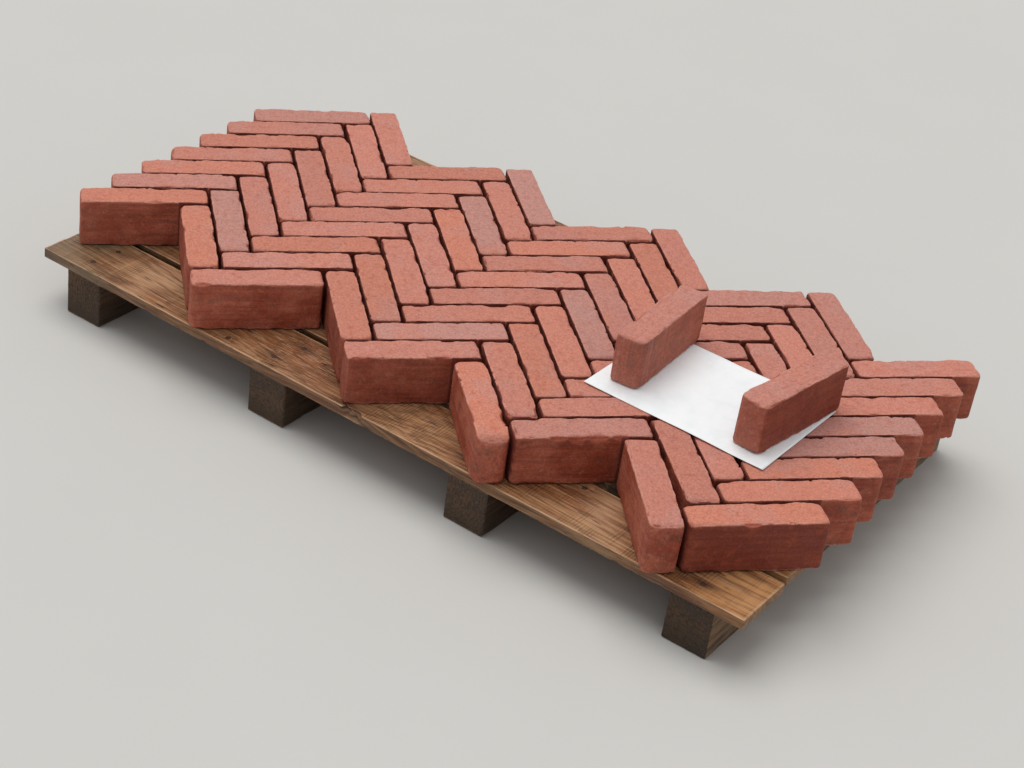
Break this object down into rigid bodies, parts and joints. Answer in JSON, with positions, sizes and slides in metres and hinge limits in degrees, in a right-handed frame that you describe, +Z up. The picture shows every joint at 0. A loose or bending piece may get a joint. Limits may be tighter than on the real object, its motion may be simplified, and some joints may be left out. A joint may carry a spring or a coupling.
{
  "type": "pallet of bricks",
  "caption": "Red clay pavers laid on edge in herringbone on a low timber pallet, with a paper sheet held down by loose pavers.",
  "frame": {"origin": "on the floor under the middle of the pallet, where the paving is centred", "axes": "+X along the deck boards, +Y from the front board to the rear one, +Z up"},
  "size_m": [1.3234, 0.7406, 0.2535],
  "materials": {
    "brick": "matte",
    "board_wood": "matte",
    "bearer_wood": "matte",
    "sheet": "satin"
  },
  "bodies": {
    "root": {"bearer_1": "bearer_wood", "bearer_2": "bearer_wood", "bearer_3": "bearer_wood", "bearer_4": "bearer_wood", "deck_board_1": "board_wood", "deck_board_2": "board_wood", "deck_board_3": "board_wood", "deck_board_4": "board_wood", "deck_board_5": "board_wood", "deck_board_6": "board_wood", "brick_row_1": "brick", "brick_row_2": "brick", "brick_row_3": "brick", "brick_row_4": "brick", "brick_row_5": "brick", "brick_row_6": "brick", "brick_row_7": "brick", "brick_row_8": "brick", "brick_row_9": "brick", "paper_sheet": "sheet", "spare_brick_left": "brick", "spare_brick_right": "brick"}
  },
  "joints": []
}
